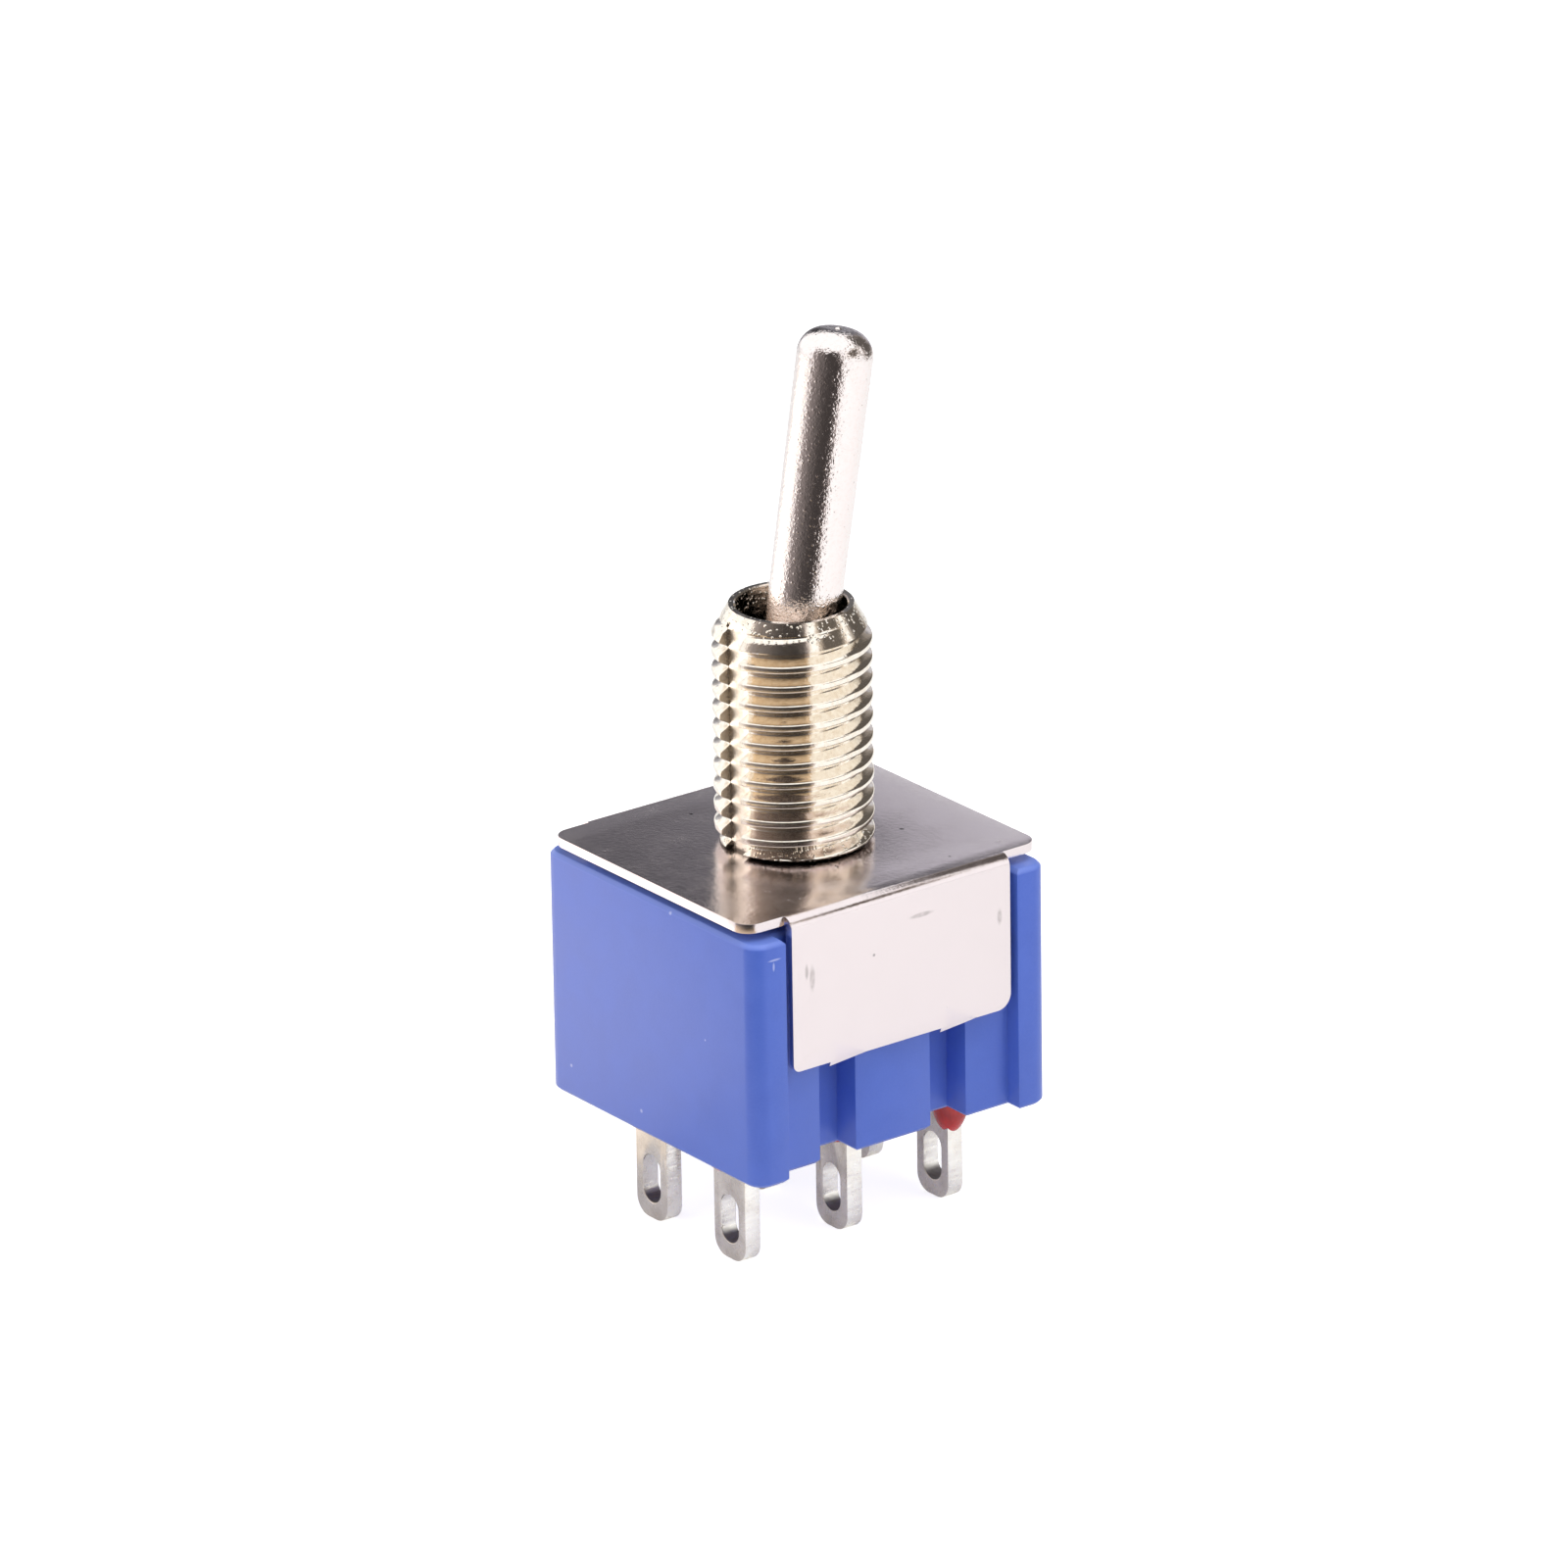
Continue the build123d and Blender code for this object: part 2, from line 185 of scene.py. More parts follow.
def bushing_form():
    """Threaded tube. Columns are angles. Rows climb with the helix and are clipped between the plate
    and the top, so crests and roots follow grid lines. The lead-in cone cuts the thread, a narrow
    undercut ends it at the plate, and the columns at the grid's two side edges drop to the keyway's
    flat floor. More rows carry the same columns over the rim, down the bore and its ball seat, and
    back round the flange and the neck. The flange's and bore's rows are duller, and the staked neck
    looks like the plate."""
    steps = np.array(sorted(THREAD_KNOTS[:-1] + FLANK_MIDDLES))
    turns = math.ceil(BUSHING_TOP / THREAD_PITCH) + 1
    climb = np.concatenate([(turn + steps) * THREAD_PITCH for turn in range(-1, turns)])[:, None]
    edge = math.asin(KEYWAY_HALF / RIM_RADIUS)
    around = np.linspace(-math.pi + edge, math.pi - edge, 200)
    angle = np.concatenate([[-math.pi, -math.pi + edge * 0.5, -math.pi + edge], around,
                            [math.pi - edge, math.pi - edge * 0.5, math.pi]])[None, :]
    height = np.clip(climb + THREAD_PITCH * (angle + math.pi) / (2 * math.pi), 0, BUSHING_TOP)
    lead_in = THREAD_RADIUS - (height - LEAD_IN_START) * (THREAD_RADIUS - RIM_RADIUS) / (BUSHING_TOP - LEAD_IN_START)
    radius = np.minimum(thread_radius(climb + 0 * angle), lead_in)
    radius = np.minimum(radius, np.interp(height, UNDERCUT_HEIGHTS, UNDERCUT_RADII))
    x, y = radius * np.cos(angle), radius * np.sin(angle)
    # The keyway: its two edge columns sit at the slot's half width, the next ones on its floor
    flat = np.minimum(KEYWAY_FLOOR, lead_in)
    side = np.sqrt(np.maximum(radius**2 - KEYWAY_HALF**2, 0))
    for column, sign in ((3, -1), (-4, 1)):
        y[:, column] = sign * KEYWAY_HALF
        x[:, column] = -side[:, column]
    for column, across in ((2, -1.0), (1, -0.5), (0, 0.0), (-1, 0.0), (-2, 0.5), (-3, 1.0)):
        deep = flat[:, column]
        y[:, column] = across * KEYWAY_HALF
        x[:, column] = -np.minimum(deep, side[:, column]) if abs(across) == 1 else -deep
    outside = np.stack([x, y, height], axis=-1)
    # Inside, the columns beside the keyway keep their order round the axis, so that no face folds over
    turn = angle[0].copy()
    turn[:4] = np.radians(KEYWAY_TURNS) - math.pi
    turn[-4:] = -turn[3::-1]
    seat = np.linspace(math.asin(SEAT_RADIUS / SOCKET_RADIUS), math.pi / 2, 9)
    seat_rise = PIVOT_HEIGHT + SOCKET_RADIUS * np.cos(seat)
    rim = [(MOUTH_RADIUS + MOUTH_CHAMFER, BUSHING_TOP), (MOUTH_RADIUS, BUSHING_TOP - MOUTH_CHAMFER),
           (BORE_RADIUS, BORE_STEP)]
    bore = [*zip(SOCKET_RADIUS * np.sin(seat), seat_rise), (SOCKET_RADIUS, SOCKET_BOTTOM),
            (SOCKET_RADIUS, FLANGE_BOTTOM), (FLANGE_RADIUS, FLANGE_BOTTOM), (FLANGE_RADIUS, PLATE_BOTTOM)]
    neck = [(NECK_RADIUS, PLATE_BOTTOM), (NECK_RADIUS, 0.0)]
    ring = np.array(rim + bore + neck)
    rest = np.stack([ring[:, :1] * np.cos(turn), ring[:, :1] * np.sin(turn), ring[:, 1:] + 0 * turn], axis=-1)
    # Material of each strip of rows: 0 the thread's, 1 the plate's, 2 the bore's
    patches = np.repeat([0, 2, 1], [len(outside) + len(rim), len(bore), len(neck)])
    return surface("bushing_threaded", np.concatenate([outside, rest]), loop=True, patches=patches, sharp=26)


def arc(centre, radius, start, end, count):
    """Points of a circle's arc in a plane, from one angle to another, in degrees."""
    angle = np.radians(np.linspace(start, end, count))
    return np.stack([centre[0] + radius * np.cos(angle), centre[1] + radius * np.sin(angle)], axis=-1)


def along_lever(across, along, angle):
    """Points at a radius and a distance along the lever's leaning axis, turned about it."""
    axis = np.array([math.sin(LEVER_TILT), 0, math.cos(LEVER_TILT)])
    first = np.array([math.cos(LEVER_TILT), 0, -math.sin(LEVER_TILT)])
    second = np.array([0.0, 1.0, 0.0])
    spin = np.cos(angle)[..., None] * first + np.sin(angle)[..., None] * second
    return np.array([0, 0, PIVOT_HEIGHT]) + along[..., None] * axis + across[..., None] * spin


def lever_form():
    """Turned lever: one profile of radius against distance, carried round the leaning axis. From the
    tail it runs over the ball, up a shaft that widens to the bushing's mouth and again to the tip,
    round the tip's corner in a quarter circle, and over a small crown to the stub left by parting
    off."""
    ball_start = math.degrees(math.acos(TAIL_RADIUS / BALL_RADIUS))
    ball_end = math.degrees(math.acos(SHAFT_RADIUS / BALL_RADIUS))
    shaft = np.linspace(0.03, 1, 60)[:, None]
    root = np.array([SHAFT_RADIUS, BALL_RADIUS * math.sin(math.radians(ball_end))])
    mouth = np.array([MOUTH_SHAFT_RADIUS, BUSHING_TOP - PIVOT_HEIGHT])
    top = np.array([TIP_RADIUS, LEVER_REACH - TIP_ROUND])
    profile = np.concatenate([
        [(0.0, -TAIL_LENGTH), (TAIL_RADIUS - TAIL_CHAMFER, -TAIL_LENGTH), (TAIL_RADIUS, -TAIL_LENGTH + TAIL_CHAMFER)],
        arc((0, 0), BALL_RADIUS, -ball_start, ball_end, 28),
        root + (mouth - root) * shaft[::6],
        mouth + (top - mouth) * shaft,
        arc((TIP_RADIUS - TIP_ROUND, LEVER_REACH - TIP_ROUND - TIP_SINK), TIP_ROUND, 2, 90, 22),
        [(radius, LEVER_REACH + rise) for radius, rise in PARTED_STUB],
    ])
    angle = np.linspace(0, 2 * math.pi, 129)[None, :] + 0 * profile[:, :1]
    grid = along_lever(profile[:, :1] + 0 * angle, profile[:, 1:] + 0 * angle, angle)
    return surface("lever_turned", grid, sharp=30)


def seal_form(name, place, row, run):
    """Bead of epoxy about a lug's place and row: polar rows from the rim to the middle, as deep as a
    dome whose radius wavers slowly with the angle, as glue that crept before it set, each bead in its
    own phase. run adds a second, smaller and deeper dome in front of the lug, and the surface takes
    the deeper of the two at each point."""
    phase = place * 1.7 + row * 2.3
    share = 1 - np.sin(np.linspace(0, math.pi / 2, 34))[:, None]
    angle = np.linspace(0, 2 * math.pi, 97)[None, :]
    waver = 0.96 + 0.03 * np.sin(2 * angle + phase) + 0.01 * np.sin(5 * angle + 2 * phase)
    across = SEAL_RADIUS * waver * share
    drop = SEAL_DROP * 0.98 * np.clip(1 - share**2.4, 0, 1) ** 0.6 + 0 * angle
    x, y = across * np.cos(angle), across * np.sin(angle)
    if run:
        reach = (x / RUN_RADIUS) ** 2 + ((y + RUN_OFFSET) / RUN_RADIUS) ** 2
        drop = np.maximum(drop, RUN_DROP * np.sqrt(np.clip(1 - reach, 0, 1)))
    drop[0] = 0
    skin = np.stack([place + x, row + y, HOUSING_BOTTOM - drop], axis=-1)
    base = np.stack([place + 0 * angle, row + 0 * angle, HOUSING_BOTTOM + 0 * angle], axis=-1)
    return surface(name, np.concatenate([base, skin])[::-1], sharp=60)


# ---- Materials

def linear(code):
    """Linear colour of an sRGB hex value."""
    channels = [int(code[i:i + 2], 16) / 255 for i in (1, 3, 5)]
    return [c / 12.92 if c <= 0.04045 else ((c + 0.055) / 1.055) ** 2.4 for c in channels] + [1.0]


def node(tree, kind, inputs=None, out=0, **settings):
    """Adds a node with its settings and links, and gives one of its outputs. inputs holds a value for
    each socket, or the output that feeds it."""
    made = tree.nodes.new(kind)
    for key, value in settings.items():
        setattr(made, key, value)
    for key, value in (inputs or {}).items():
        if isinstance(value, bpy.types.NodeSocket):
            tree.links.new(value, made.inputs[key])
        else:
            made.inputs[key].default_value = value
    return made.outputs[out] if made.outputs else made


def per_mm(size):
    """Texture scale at which a pattern repeats about every given number of millimetres."""
    return 1 / (size * MM)


def start(name, colour, roughness, metallic=0.0, turned=(0, 0, 0)):
    """New material: its tree, its shader and the piece's own coordinates, turned by angles."""
    made = bpy.data.materials.new(name)
    made.use_nodes = True
    tree = made.node_tree
    shader = tree.nodes["Principled BSDF"].inputs
    shader["Base Color"].default_value = linear(colour)
    shader["Roughness"].default_value = roughness
    shader["Metallic"].default_value = metallic
    place = node(tree, "ShaderNodeMapping", {"Vector": node(tree, "ShaderNodeTexCoord", out="Object"),
                                             "Rotation": turned})
    return made, tree, shader, place


def marks(tree, place, spots):
    """1 inside each of a few ellipsoids and 0 outside, with a soft edge. Each is given by its middle
    and its three radii in millimetres."""
    found = 0.0
    for middle, radii in spots:
        away = node(tree, "ShaderNodeVectorMath", {0: place, 1: [c * MM for c in middle]}, operation="SUBTRACT")
        away = node(tree, "ShaderNodeVectorMath", {0: away, 1: [r * MM for r in radii]}, operation="DIVIDE")
        away = node(tree, "ShaderNodeVectorMath", {0: away}, "Value", operation="LENGTH")
        inside = node(tree, "ShaderNodeMapRange", {"Value": away, "From Min": 0.4, "From Max": 1.0, "To Min": 1.0,
                                                   "To Max": 0.0}, interpolation_type="SMOOTHSTEP")
        found = node(tree, "ShaderNodeMath", {0: found, 1: inside}, operation="MAXIMUM")
    return found


def blue_moulding():
    """Glass-filled nylon, moulded and satin: fibres near the skin give a faint cloudy mottle, the
    top rim is lightened as a painted highlight, and a few dust specks and scratches stay white."""
    made, tree, shader, place = start("nylon_blue_moulded_satin", "#4e6dd1", 0.33)
    # Flow marks of 1.6 mm. The glass fibres are too fine to show, so their grain is drawn at 0.09 mm
    cloud = node(tree, "ShaderNodeTexNoise", {"Vector": place, "Scale": per_mm(1.6), "Detail": 4})
    cloudy = node(tree, "ShaderNodeMapRange", {"Value": cloud, "From Min": 0.35, "From Max": 0.65})
    colour = node(tree, "ShaderNodeMix", {0: cloudy, 6: linear("#4c6bcf"), 7: linear("#5170d4")}, 2, data_type="RGBA")
    grain = node(tree, "ShaderNodeTexNoise", {"Vector": place, "Scale": per_mm(0.09), "Detail": 2})
    grainy = node(tree, "ShaderNodeMapRange", {"Value": grain, "From Min": 0.3, "From Max": 0.8, "To Max": 0.2})
    colour = node(tree, "ShaderNodeMix", {0: grainy, 6: colour, 7: linear("#5e7cda")}, 2, data_type="RGBA")
    # Painted highlight: the top rim, just under the plate, is lightened to stand in for the light its rounded edge
    # catches
    height = node(tree, "ShaderNodeSeparateXYZ", {0: place}, "Z")
    rim = node(tree, "ShaderNodeMapRange", {"Value": height, "From Min": -0.9 * MM, "From Max": -0.78 * MM,
                                            "To Max": 0.45})
    colour = node(tree, "ShaderNodeMix", {0: rim, 6: colour, 7: linear("#8fa6f2")}, 2, data_type="RGBA")
    dust = marks(tree, place, [
        ((-6.75, 0.62, -9.3), (0.1, 0.1, 0.1)), ((-6.75, 4.95, -8.9), (0.09, 0.09, 0.09)),
        ((-6.75, -1.4, -0.85), (0.1, 0.1, 0.1)), ((-6.75, -3.4, -5.2), (0.05, 0.05, 0.05)),
        ((-5.83, -6.45, -1.34), (0.36, 0.2, 0.055)), ((-5.87, -6.45, -1.6), (0.06, 0.2, 0.22))])
    dust = node(tree, "ShaderNodeMath", {0: dust, 1: 0.6}, operation="MULTIPLY")
    colour = node(tree, "ShaderNodeMix", {0: dust, 6: colour, 7: linear("#c3cdf4")}, 2, data_type="RGBA")
    tree.links.new(colour, shader["Base Color"])
    sheen = node(tree, "ShaderNodeMapRange", {"Value": cloud, "From Min": 0.3, "From Max": 0.7, "To Min": 0.29,
                                              "To Max": 0.38})
    tree.links.new(sheen, shader["Roughness"])
    shader["IOR"].default_value = 1.53
    # The skin of the mould, spark-eroded, coarser than real so that it shows
    skin = node(tree, "ShaderNodeTexNoise", {"Vector": place, "Scale": per_mm(0.14), "Detail": 3})
    bump = node(tree, "ShaderNodeBump", {"Height": skin, "Distance": 0.003 * MM, "Strength": 0.3})
    tree.links.new(bump, shader["Normal"])
    return made


def plated_sheet():
    """Bright nickel over rolled steel: a mirror with faint waves from the rolling, a fine orange
    peel, handling smudges that dull it in patches, small pits and a few darker rubbed places."""
    made, tree, shader, place = start("nickel_bright_on_steel_sheet", "#e8dedf", 0.12, 1.0)
    # Smudges of 1.5 mm, and orange peel drawn at 0.2 mm, where real peel is finer than shows
    smudge = node(tree, "ShaderNodeTexNoise", {"Vector": place, "Scale": per_mm(1.5), "Detail": 5, "Roughness": 0.6})
    dull = node(tree, "ShaderNodeMapRange", {"Value": smudge, "From Min": 0.4, "From Max": 0.7, "To Min": 0.12,
                                             "To Max": 0.24})
    peel = node(tree, "ShaderNodeTexNoise", {"Vector": place, "Scale": per_mm(0.2), "Detail": 4, "Roughness": 0.6})
    rough = node(tree, "ShaderNodeMapRange", {"Value": peel, "From Min": 0.4, "From Max": 0.8, "To Max": 0.08})
    tree.links.new(node(tree, "ShaderNodeMath", {0: dull, 1: rough}, operation="ADD"), shader["Roughness"])
    # Pits about 1.1 mm apart, in areas, and two knocks on the top
    cell = node(tree, "ShaderNodeTexVoronoi", {"Vector": place, "Scale": per_mm(1.1)})
    pit = node(tree, "ShaderNodeMapRange", {"Value": cell, "From Min": 0.03, "From Max": 0.07, "To Min": 1.0,
                                            "To Max": 0.0})
    area = node(tree, "ShaderNodeTexNoise", {"Vector": place, "Scale": per_mm(2.4), "Detail": 1})
    area = node(tree, "ShaderNodeMapRange", {"Value": area, "From Min": 0.52, "From Max": 0.6})
    pit = node(tree, "ShaderNodeMath", {0: pit, 1: area}, operation="MULTIPLY")
    knock = marks(tree, place, [((3.51, -1.86, 0), (0.12, 0.12, 0.1)), ((-1.6, 4.22, 0), (0.1, 0.1, 0.1))])
    pit = node(tree, "ShaderNodeMath", {0: pit, 1: knock}, operation="MAXIMUM")
    colour = node(tree, "ShaderNodeMix", {0: pit, 6: linear("#e8dedf"), 7: linear("#8d8687")}, 2, data_type="RGBA")
    thumbed = marks(tree, place, [((-4.1, -6.4, -2.5), (0.16, 0.3, 0.62)), ((-4.35, -6.4, -2.2), (0.1, 0.3, 0.4)),
                                  ((4.5, -6.4, -2.3), (0.14, 0.3, 0.4)), ((0.9, -6.4, -1.3), (0.7, 0.3, 0.12))])
    thumbed = node(tree, "ShaderNodeMath", {0: thumbed, 1: peel}, operation="MULTIPLY")
    colour = node(tree, "ShaderNodeMix", {0: thumbed, 6: colour, 7: linear("#a89f9e")}, 2, data_type="RGBA")
    tree.links.new(colour, shader["Base Color"])
    # The top sinks a little towards the folds at front and rear, and the rolling left waves of 2.6 mm
    depth = node(tree, "ShaderNodeMath", {0: node(tree, "ShaderNodeSeparateXYZ", {0: place}, "Y")},
                 operation="ABSOLUTE")
    sag = node(tree, "ShaderNodeMapRange", {"Value": depth, "From Min": 4.8 * MM, "From Max": 6.3 * MM, "To Min": 1.0,
                                            "To Max": 0.0}, interpolation_type="SMOOTHSTEP")
    bump = node(tree, "ShaderNodeBump", {"Height": sag, "Distance": 0.05 * MM})
    wave = node(tree, "ShaderNodeTexNoise", {"Vector": place, "Scale": per_mm(2.6), "Detail": 1})
    bump = node(tree, "ShaderNodeBump", {"Height": wave, "Distance": 0.012 * MM, "Strength": 0.5, "Normal": bump})
    bump = node(tree, "ShaderNodeBump", {"Height": peel, "Distance": 0.013 * MM, "Strength": 0.6, "Normal": bump})
    bump = node(tree, "ShaderNodeBump", {"Height": pit, "Distance": 0.01 * MM, "Strength": 0.6, "Normal": bump},
                invert=True)
    tree.links.new(bump, shader["Normal"])
    return made


def turned_metal(name, colour, shade, turned, ring, depth, rough, speck, burr, torn=(), tear=0.035, milled=(),
                 shaded_places=()):
    """Nickel on turned brass: fine rings square to the axis from the tool, and specks of torn metal
    that scatter the light. ring and speck are their sizes and depth and burr their heights, in
    millimetres. A tool's rings and specks are a few hundredths of a millimetre apart, too fine to
    show, so they are drawn a few times as coarse. torn gives levels, each with its reach, about which
    the tool left burrs as high as tear. milled gives places, as marks has them, that a cutter left dull,
    and the last argument gives places whose colour is darkened as painted shade."""
    made, tree, shader, place = start(name, colour, rough, 1.0, turned)
    drawn = node(tree, "ShaderNodeMapping", {"Vector": place, "Scale": (0.08, 0.08, 1.0)})
    rings = node(tree, "ShaderNodeTexNoise", {"Vector": drawn, "Scale": per_mm(ring), "Detail": 3, "Roughness": 0.6})
    specks = node(tree, "ShaderNodeTexNoise", {"Vector": place, "Scale": per_mm(speck), "Detail": 2, "Roughness": 0.7})
    specks = node(tree, "ShaderNodeMapRange", {"Value": specks, "From Min": 0.42, "From Max": 0.68})
    wear_and_shade = node(tree, "ShaderNodeMapRange", {"Value": specks, "From Min": 0.1, "From Max": 1.0})
    wear_and_shade = node(tree, "ShaderNodeMix", {0: wear_and_shade, 6: linear(colour), 7: linear(shade)}, 2, data_type="RGBA")
    # Painted shade: the given places, the bushing's foot where it meets the plate, are darkened to stand in for the
    # shadow in the undercut there
    painted_shade = node(tree, "ShaderNodeMath", {0: marks(tree, place, shaded_places), 1: 0.85}, operation="MULTIPLY")
    wear_and_shade = node(tree, "ShaderNodeMix", {0: painted_shade, 6: wear_and_shade, 7: linear("#3a2d22")}, 2, data_type="RGBA")
    tree.links.new(wear_and_shade, shader["Base Color"])
    dull = node(tree, "ShaderNodeMapRange", {"Value": specks, "To Min": rough * 0.8, "To Max": rough * 1.6})
    cut = node(tree, "ShaderNodeMath", {0: marks(tree, place, milled), 1: 0.4}, operation="MULTIPLY")
    tree.links.new(node(tree, "ShaderNodeMath", {0: dull, 1: cut}, operation="ADD"), shader["Roughness"])
    bump = node(tree, "ShaderNodeBump", {"Height": rings, "Distance": depth * MM, "Strength": 0.8})
    bump = node(tree, "ShaderNodeBump", {"Height": specks, "Distance": burr * MM, "Strength": 0.8, "Normal": bump})
    bump = node(tree, "ShaderNodeBump", {"Height": rings, "Distance": 0.05 * MM, "Strength": cut, "Normal": bump})
    if torn:
        # Burrs of 0.17 mm, coarser than real so that they show
        ragged = marks(tree, place, [((0, 0, level), (ALL_ROUND, ALL_ROUND, reach)) for level, reach in torn])
        burrs = node(tree, "ShaderNodeTexVoronoi", {"Vector": place, "Scale": per_mm(0.17)})
        burrs = node(tree, "ShaderNodeMapRange", {"Value": burrs, "From Min": 0.05, "From Max": 0.32, "To Min": 1.0,
                                                  "To Max": 0.0})
        bump = node(tree, "ShaderNodeBump", {"Height": burrs, "Distance": tear * MM, "Strength": ragged,
                                             "Normal": bump})
    tree.links.new(bump, shader["Normal"])
    return made


def lug_strip():
    """Tin-plated brass strip, punched: dull grey on its rolled faces, brighter on its sheared edges,
    where torn ripples run across, that difference partly painted shade and highlight, and darkened on
    its upward faces in the slot's floor as painted shade."""
    made, tree, shader, place = start("tin_on_brass_strip_punched", "#c2bab2", 0.25, 1.0)
    normal = node(tree, "ShaderNodeNewGeometry", out="Normal")
    facing = node(tree, "ShaderNodeSeparateXYZ", {0: normal}, "X")
    facing = node(tree, "ShaderNodeMath", {0: facing}, operation="ABSOLUTE")
    sheared = node(tree, "ShaderNodeMapRange", {"Value": facing, "From Min": 0.25, "From Max": 0.8, "To Min": 1.0,
                                                "To Max": 0.0})
    # Tarnish in clouds of 0.8 mm, on faces and edges alike
    tarnish = node(tree, "ShaderNodeTexNoise", {"Vector": place, "Scale": per_mm(0.8), "Detail": 4})
    tarnish = node(tree, "ShaderNodeMapRange", {"Value": tarnish, "From Min": 0.4, "From Max": 0.75})
    # Partly painted light: the rolled faces take a darker copy of the tin and the sheared edges a paler one, for their
    # finish and to stand in for the shade and highlight each catches
    face = node(tree, "ShaderNodeMix", {0: tarnish, 6: linear("#d3ccc6"), 7: linear("#bbb3ac")}, 2, data_type="RGBA")
    edge = node(tree, "ShaderNodeMix", {0: tarnish, 6: linear("#f8f5ee"), 7: linear("#e8e2d9")}, 2, data_type="RGBA")
    colour = node(tree, "ShaderNodeMix", {0: sheared, 6: face, 7: edge}, 2, data_type="RGBA")
    # Painted shade: faces that look up, the slot's floor under the housing, are darkened to stand in for the shadow
    # there, and are made rougher
    upward = node(tree, "ShaderNodeSeparateXYZ", {0: normal}, "Z")
    upward = node(tree, "ShaderNodeMapRange", {"Value": upward, "From Min": 0.2, "From Max": 0.7, "To Max": 0.75})
    colour = node(tree, "ShaderNodeMix", {0: upward, 6: colour, 7: linear("#4a4542")}, 2, data_type="RGBA")
    tree.links.new(colour, shader["Base Color"])
    # The tin's grain is drawn at 0.2 mm, coarser than real so that it shows. The shear's ripples are 0.35 mm
    grain = node(tree, "ShaderNodeTexNoise", {"Vector": place, "Scale": per_mm(0.2), "Detail": 3})
    dull = node(tree, "ShaderNodeMapRange", {"Value": grain, "From Min": 0.3, "From Max": 0.8, "To Min": 0.16,
                                             "To Max": 0.36})
    upward_dulled = node(tree, "ShaderNodeMath", {0: upward, 1: 0.5}, operation="MULTIPLY")
    tree.links.new(node(tree, "ShaderNodeMath", {0: dull, 1: upward_dulled}, operation="ADD"), shader["Roughness"])
    drawn = node(tree, "ShaderNodeMapping", {"Vector": place, "Scale": (0.3, 1.0, 1.6)})
    torn = node(tree, "ShaderNodeTexNoise", {"Vector": drawn, "Scale": per_mm(0.35), "Detail": 3})
    torn = node(tree, "ShaderNodeMath", {0: torn, 1: sheared}, operation="MULTIPLY")
    bump = node(tree, "ShaderNodeBump", {"Height": torn, "Distance": 0.05 * MM, "Strength": 0.7})
    bump = node(tree, "ShaderNodeBump", {"Height": grain, "Distance": 0.006 * MM, "Strength": 0.5, "Normal": bump})
    tree.links.new(bump, shader["Normal"])
    return made


def sealing_epoxy():
    """Red potting epoxy, poured and cured: glossy and a little cloudy, darkened to maroon near the
    moulding as painted shade. Its clouds and ripples are about half a millimetre."""
    made, tree, shader, place = start("epoxy_red_poured_gloss", "#d81410", 0.1)
    height = node(tree, "ShaderNodeSeparateXYZ", {0: place}, "Z")
    # Painted shade: near the housing's bottom the epoxy is darkened to maroon, standing in for the shadow under the
    # housing and in its grooves
    shade_near_housing = node(tree, "ShaderNodeMapRange", {"Value": height, "From Min": -10.62 * MM, "From Max": -10.3 * MM},
                interpolation_type="SMOOTHSTEP")
    cloud = node(tree, "ShaderNodeTexNoise", {"Vector": place, "Scale": per_mm(0.6), "Detail": 3})
    cloud = node(tree, "ShaderNodeMapRange", {"Value": cloud, "From Min": 0.35, "From Max": 0.7})
    colour = node(tree, "ShaderNodeMix", {0: cloud, 6: linear("#e01a14"), 7: linear("#b40e0e")}, 2, data_type="RGBA")
    colour = node(tree, "ShaderNodeMix", {0: shade_near_housing, 6: colour, 7: linear("#4a0a10")}, 2, data_type="RGBA")
    tree.links.new(colour, shader["Base Color"])
    shader["Coat Weight"].default_value = 0.3
    ripple = node(tree, "ShaderNodeTexNoise", {"Vector": place, "Scale": per_mm(0.5), "Detail": 2})
    bump = node(tree, "ShaderNodeBump", {"Height": ripple, "Distance": 0.04 * MM, "Strength": 0.5})
    tree.links.new(bump, shader["Normal"])
    return made


def plain_moulding(name, colour, shade, rough):
    """Moulded inner plastic: matt, with a slight cloud in its colour and a fine skin texture, drawn
    coarser than real, as the housing's is."""
    made, tree, shader, place = start(name, colour, rough)
    cloud = node(tree, "ShaderNodeTexNoise", {"Vector": place, "Scale": per_mm(0.7), "Detail": 3})
    cloud = node(tree, "ShaderNodeMapRange", {"Value": cloud, "From Min": 0.35, "From Max": 0.7})
    tree.links.new(node(tree, "ShaderNodeMix", {0: cloud, 6: linear(colour), 7: linear(shade)}, 2, data_type="RGBA"),
                   shader["Base Color"])
    skin = node(tree, "ShaderNodeTexNoise", {"Vector": place, "Scale": per_mm(0.12), "Detail": 2})
    tree.links.new(node(tree, "ShaderNodeBump", {"Height": skin, "Distance": 0.003 * MM, "Strength": 0.4}),
                   shader["Normal"])
    return made


